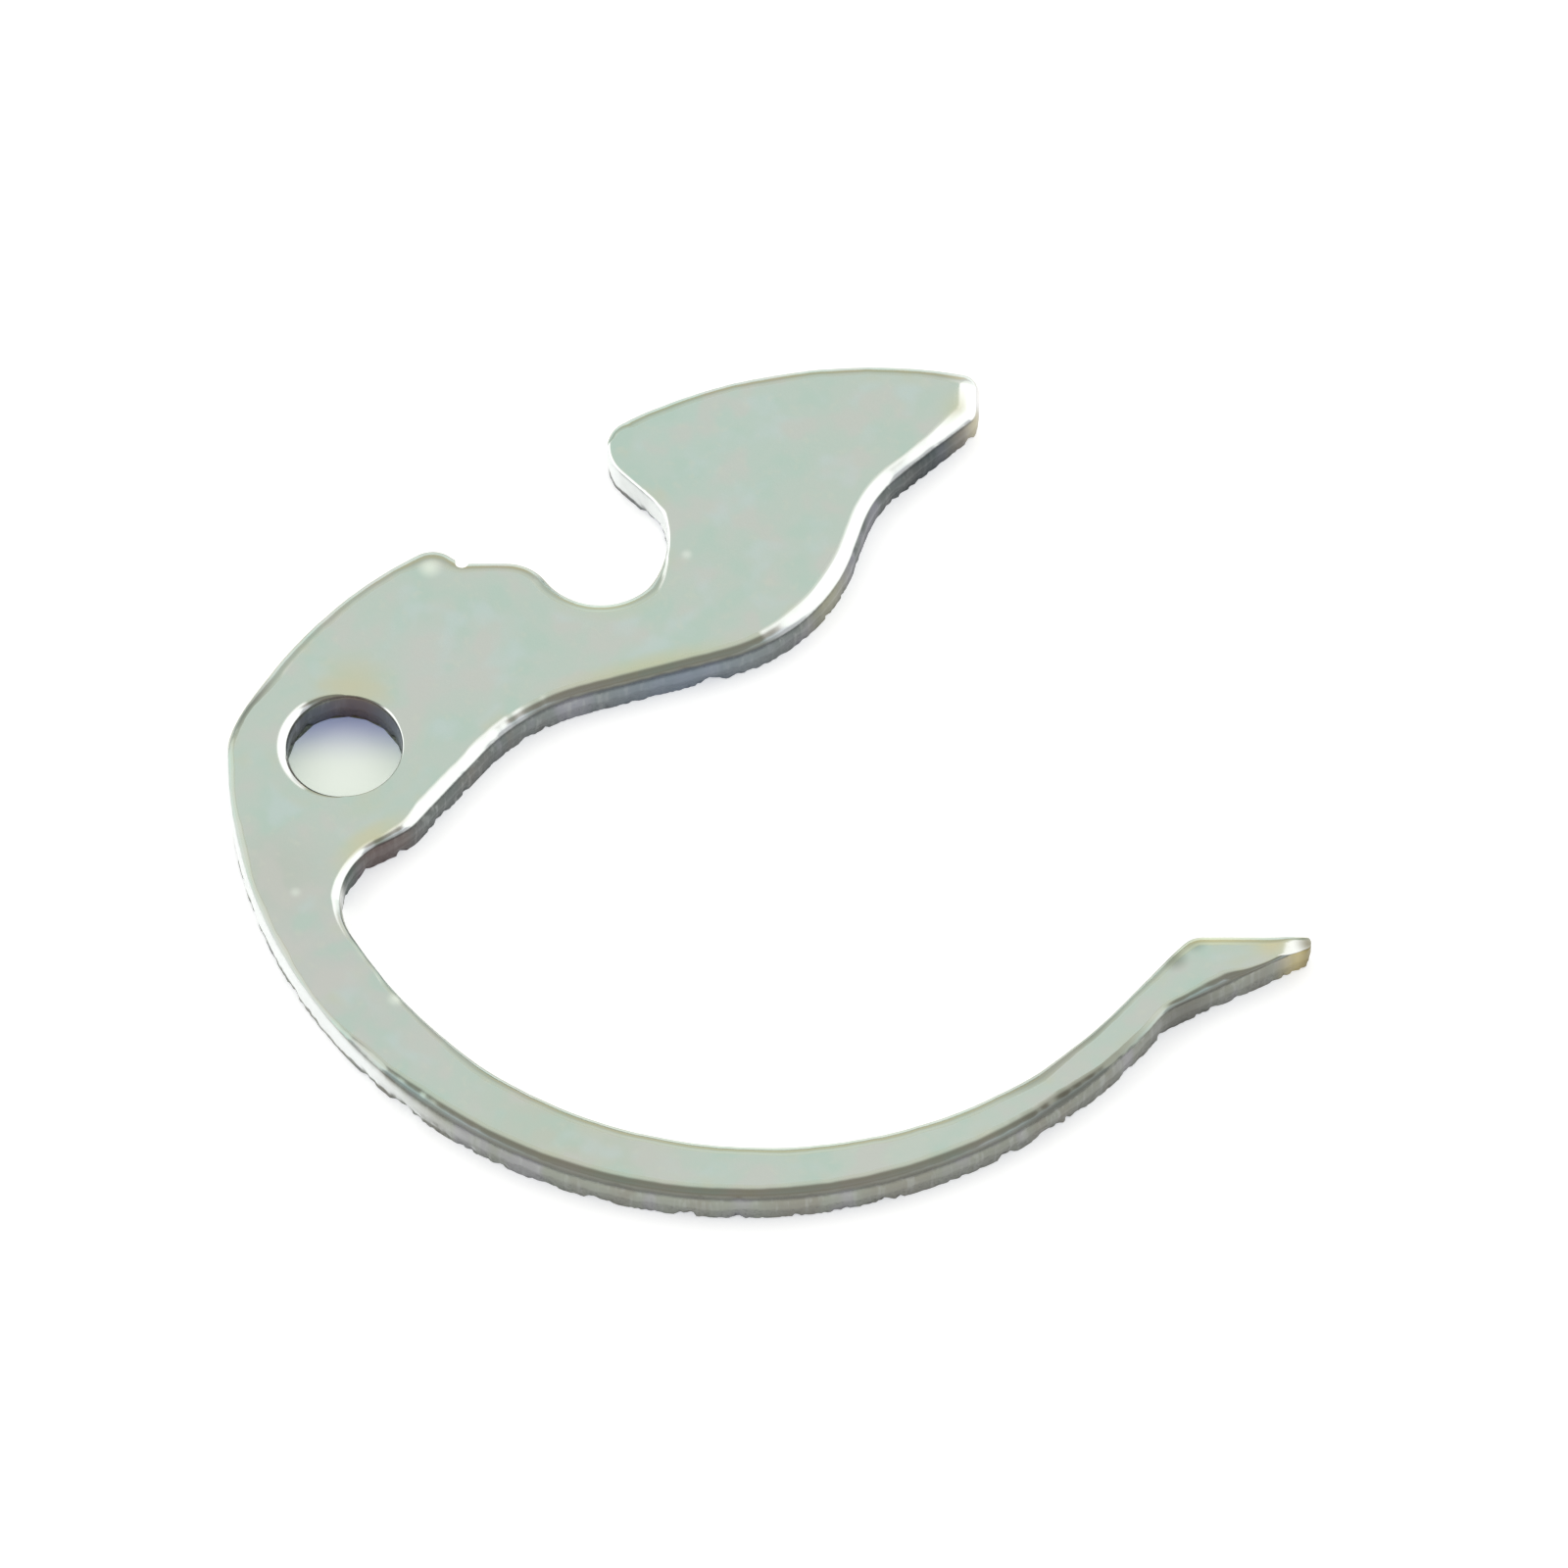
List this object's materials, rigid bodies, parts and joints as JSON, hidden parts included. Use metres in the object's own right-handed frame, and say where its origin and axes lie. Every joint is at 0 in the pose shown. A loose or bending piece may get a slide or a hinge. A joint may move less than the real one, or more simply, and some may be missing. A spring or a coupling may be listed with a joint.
{
  "type": "watch click spring",
  "caption": "Flat blanked spring that holds a watch's click in its wheel: a C-shaped arm with a wedge foot, round a body with a post hole, a half-round notch and a beak head.",
  "frame": {"origin": "axis of the post hole, on the underside of the spring", "axes": "+X from the post hole towards the toe of the foot, +Y from the arm towards the head, +Z through the thickness, out of the face with the rolled edges"},
  "size_m": [0.0066, 0.006, 0.0003],
  "materials": {
    "spring_steel": "satin, tumbled after blanking, hardened and tempered"
  },
  "bodies": {
    "root": {"click_spring": "spring_steel"}
  },
  "joints": []
}
